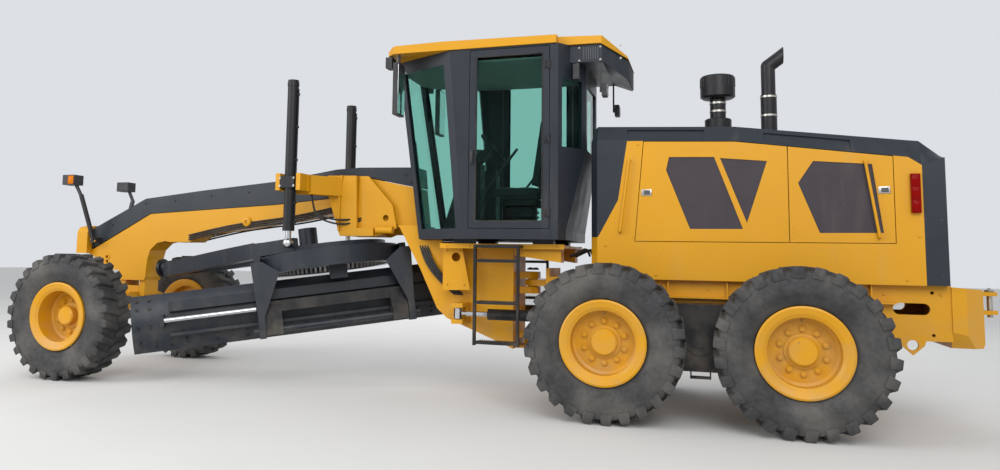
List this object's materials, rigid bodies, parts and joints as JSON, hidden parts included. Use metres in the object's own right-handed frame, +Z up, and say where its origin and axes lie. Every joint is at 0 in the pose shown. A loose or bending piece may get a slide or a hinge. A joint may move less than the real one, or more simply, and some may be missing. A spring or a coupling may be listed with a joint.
{
  "type": "motor grader",
  "caption": "Articulated motor grader with tandem rear wheels, gooseneck front frame, glazed cab and a circle-mounted curved blade.",
  "frame": {"origin": "on the ground below the middle of the machine's length and width", "axes": "+X to the front of the machine, +Y to its left, +Z up"},
  "size_m": [9.69, 2.6332, 3.531],
  "materials": {
    "yellow_paint": "semi-gloss",
    "dark_paint": "semi-gloss",
    "black_paint": "satin",
    "cast_iron": "rough",
    "tyre_rubber": "dusty",
    "tinted_glass": "polished",
    "chrome_rod": "polished",
    "black_plastic": "matte",
    "red_lens": "gloss",
    "seat_fabric": "woven"
  },
  "bodies": {
    "rear_frame": {"rear_frame": "yellow_paint", "rear_bumper": "yellow_paint", "rear_axle": "black_paint", "engine_block": "cast_iron", "hood_panels": "yellow_paint", "hood_cover": "dark_paint", "rear_grille": "dark_paint", "stacks": "black_paint", "tail_lamps": "red_lens"},
    "engine_door_front_left": {"engine_door_front_left": "yellow_paint"},
    "engine_door_front_right": {"engine_door_front_right": "yellow_paint"},
    "engine_door_rear_left": {"engine_door_rear_left": "yellow_paint"},
    "engine_door_rear_right": {"engine_door_rear_right": "yellow_paint"},
    "front_frame": {"front_frame": "yellow_paint", "gooseneck": "yellow_paint", "cab_platform": "yellow_paint", "beam_cover": "dark_paint", "front_axle": "yellow_paint", "saddle": "yellow_paint", "cab_frame": "dark_paint", "cab_glass": "tinted_glass", "cab_roof": "yellow_paint", "ac_housing": "dark_paint", "seat": "seat_fabric", "console": "black_plastic", "mirrors": "black_plastic", "ladders": "black_paint", "lamps": "black_plastic"},
    "cab_door_left": {"cab_door_left": "dark_paint", "cab_door_glass_left": "tinted_glass"},
    "cab_door_right": {"cab_door_right": "dark_paint", "cab_door_glass_right": "tinted_glass"},
    "knuckle_left": {"knuckle_left": "yellow_paint"},
    "knuckle_right": {"knuckle_right": "yellow_paint"},
    "lift_barrel_left": {"lift_barrel_left": "black_paint"},
    "lift_barrel_right": {"lift_barrel_right": "black_paint"},
    "lift_rod_left": {"lift_rod_left": "chrome_rod"},
    "lift_rod_right": {"lift_rod_right": "chrome_rod"},
    "articulation_barrel_left": {"articulation_barrel_left": "black_paint"},
    "articulation_barrel_right": {"articulation_barrel_right": "black_paint"},
    "articulation_rod_left": {"articulation_rod_left": "chrome_rod"},
    "articulation_rod_right": {"articulation_rod_right": "chrome_rod"},
    "drawbar": {"drawbar": "dark_paint"},
    "circle": {"circle": "dark_paint"},
    "blade_carrier": {"blade_carrier": "black_paint"},
    "moldboard": {"moldboard": "dark_paint", "side_shift_rod": "chrome_rod"},
    "wheel_rear_left": {"tyre_rear_left": "tyre_rubber", "rim_rear_left": "yellow_paint"},
    "wheel_rear_right": {"tyre_rear_right": "tyre_rubber", "rim_rear_right": "yellow_paint"},
    "wheel_middle_left": {"tyre_middle_left": "tyre_rubber", "rim_middle_left": "yellow_paint"},
    "wheel_middle_right": {"tyre_middle_right": "tyre_rubber", "rim_middle_right": "yellow_paint"},
    "wheel_front_left": {"tyre_front_left": "tyre_rubber", "rim_front_left": "yellow_paint"},
    "wheel_front_right": {"tyre_front_right": "tyre_rubber", "rim_front_right": "yellow_paint"}
  },
  "joints": [
    {"name": "wheel_rear_left_spin", "type": "hinge", "parent": "rear_frame", "child": "wheel_rear_left", "pos_m": [-3.205, 1.0775, 0.672], "axis": [0, 1, 0], "continuous": true},
    {"name": "wheel_rear_right_spin", "type": "hinge", "parent": "rear_frame", "child": "wheel_rear_right", "pos_m": [-3.205, -1.0775, 0.672], "axis": [0, 1, 0], "continuous": true},
    {"name": "wheel_middle_left_spin", "type": "hinge", "parent": "rear_frame", "child": "wheel_middle_left", "pos_m": [-1.662, 1.0775, 0.672], "axis": [0, 1, 0], "continuous": true},
    {"name": "wheel_middle_right_spin", "type": "hinge", "parent": "rear_frame", "child": "wheel_middle_right", "pos_m": [-1.662, -1.0775, 0.672], "axis": [0, 1, 0], "continuous": true},
    {"name": "wheel_front_left_spin", "type": "hinge", "parent": "knuckle_left", "child": "wheel_front_left", "pos_m": [4.081, 1.0935, 0.672], "axis": [0, 1, 0], "continuous": true},
    {"name": "wheel_front_right_spin", "type": "hinge", "parent": "knuckle_right", "child": "wheel_front_right", "pos_m": [4.081, -1.0935, 0.672], "axis": [0, 1, 0], "continuous": true},
    {"name": "articulation", "type": "hinge", "parent": "rear_frame", "child": "front_frame", "pos_m": [-0.805, 0, 0.822], "axis": [0, 0, -1], "range_deg": [-25, 25]},
    {"name": "engine_door_front_left_hinge", "type": "hinge", "parent": "rear_frame", "child": "engine_door_front_left", "pos_m": [-3.18, 0.566, 1.9], "axis": [0, 0, 1], "range_deg": [0, 85]},
    {"name": "engine_door_rear_left_hinge", "type": "hinge", "parent": "rear_frame", "child": "engine_door_rear_left", "pos_m": [-3.18, 0.566, 1.9], "axis": [0, 0, -1], "range_deg": [0, 85]},
    {"name": "cab_door_left_hinge", "type": "hinge", "parent": "front_frame", "child": "cab_door_left", "pos_m": [-1.101, 0.706, 2.5], "axis": [0, 0, 1], "range_deg": [0, 90]},
    {"name": "steering_left", "type": "hinge", "parent": "front_frame", "child": "knuckle_left", "pos_m": [4.081, 0.8, 0.672], "axis": [0, 0, 1], "range_deg": [-40, 40]},
    {"name": "lift_trunnion_left", "type": "hinge", "parent": "front_frame", "child": "lift_barrel_left", "pos_m": [1.637, 0.727, 2.125], "axis": [0, -1, 0], "range_deg": [-2, 2]},
    {"name": "lift_stroke_left", "type": "slide", "parent": "lift_barrel_left", "child": "lift_rod_left", "axis": [0, 0, 1], "range_m": [-0.6, 0.1]},
    {"name": "articulation_barrel_left_pivot", "type": "hinge", "parent": "rear_frame", "child": "articulation_barrel_left", "pos_m": [-1.405, 0.5, 0.822], "axis": [0, 0, 1], "range_deg": [-16, 16]},
    {"name": "articulation_left_stroke", "type": "slide", "parent": "articulation_barrel_left", "child": "articulation_rod_left", "axis": [1, 0, 0], "range_m": [-0.25, 0.25]},
    {"name": "engine_door_front_right_hinge", "type": "hinge", "parent": "rear_frame", "child": "engine_door_front_right", "pos_m": [-3.18, -0.566, 1.9], "axis": [0, 0, -1], "range_deg": [0, 85]},
    {"name": "engine_door_rear_right_hinge", "type": "hinge", "parent": "rear_frame", "child": "engine_door_rear_right", "pos_m": [-3.18, -0.566, 1.9], "axis": [0, 0, 1], "range_deg": [0, 85]},
    {"name": "cab_door_right_hinge", "type": "hinge", "parent": "front_frame", "child": "cab_door_right", "pos_m": [-1.101, -0.706, 2.5], "axis": [0, 0, -1], "range_deg": [0, 90]},
    {"name": "steering_right", "type": "hinge", "parent": "front_frame", "child": "knuckle_right", "pos_m": [4.081, -0.8, 0.672], "axis": [0, 0, 1], "range_deg": [-40, 40]},
    {"name": "lift_trunnion_right", "type": "hinge", "parent": "front_frame", "child": "lift_barrel_right", "pos_m": [1.637, -0.727, 2.125], "axis": [0, -1, 0], "range_deg": [-2, 2]},
    {"name": "lift_stroke_right", "type": "slide", "parent": "lift_barrel_right", "child": "lift_rod_right", "axis": [0, 0, 1], "range_m": [-0.6, 0.1]},
    {"name": "articulation_barrel_right_pivot", "type": "hinge", "parent": "rear_frame", "child": "articulation_barrel_right", "pos_m": [-1.405, -0.5, 0.822], "axis": [0, 0, 1], "range_deg": [-16, 16]},
    {"name": "articulation_right_stroke", "type": "slide", "parent": "articulation_barrel_right", "child": "articulation_rod_right", "axis": [1, 0, 0], "range_m": [-0.25, 0.25]},
    {"name": "drawbar_pitch", "type": "hinge", "parent": "front_frame", "child": "drawbar", "pos_m": [3.716, 0, 1.189], "axis": [0, 1, 0], "range_deg": [-11, 0]},
    {"name": "circle_turn", "type": "hinge", "parent": "drawbar", "child": "circle", "pos_m": [1.52665, 0, 1.31783], "axis": [0.1495, 0, 0.9888], "range_deg": [0, 110]},
    {"name": "blade_tip", "type": "hinge", "parent": "circle", "child": "blade_carrier", "pos_m": [1.16219, 0.4423, 0.68522], "axis": [0.8475, 0.515, -0.1282], "range_deg": [-5, 40]},
    {"name": "blade_side_shift", "type": "slide", "parent": "blade_carrier", "child": "moldboard", "axis": [0.8475, 0.515, -0.1282], "range_m": [-0.4, 0.5]}
  ],
  "couplings": [
    {"joint": "steering_right", "follows": "steering_left", "ratio": 1},
    {"joint": "lift_stroke_left", "follows": "drawbar_pitch", "m_per_rad": 2.07},
    {"joint": "lift_stroke_right", "follows": "drawbar_pitch", "m_per_rad": 2.07},
    {"joint": "lift_trunnion_left", "follows": "drawbar_pitch", "ratio": 0.09},
    {"joint": "lift_trunnion_right", "follows": "drawbar_pitch", "ratio": 0.09},
    {"joint": "articulation_barrel_left_pivot", "follows": "articulation", "ratio": -0.516},
    {"joint": "articulation_barrel_right_pivot", "follows": "articulation", "ratio": -0.516},
    {"joint": "articulation_left_stroke", "follows": "articulation", "m_per_rad": 0.5},
    {"joint": "articulation_right_stroke", "follows": "articulation", "m_per_rad": -0.5}
  ]
}
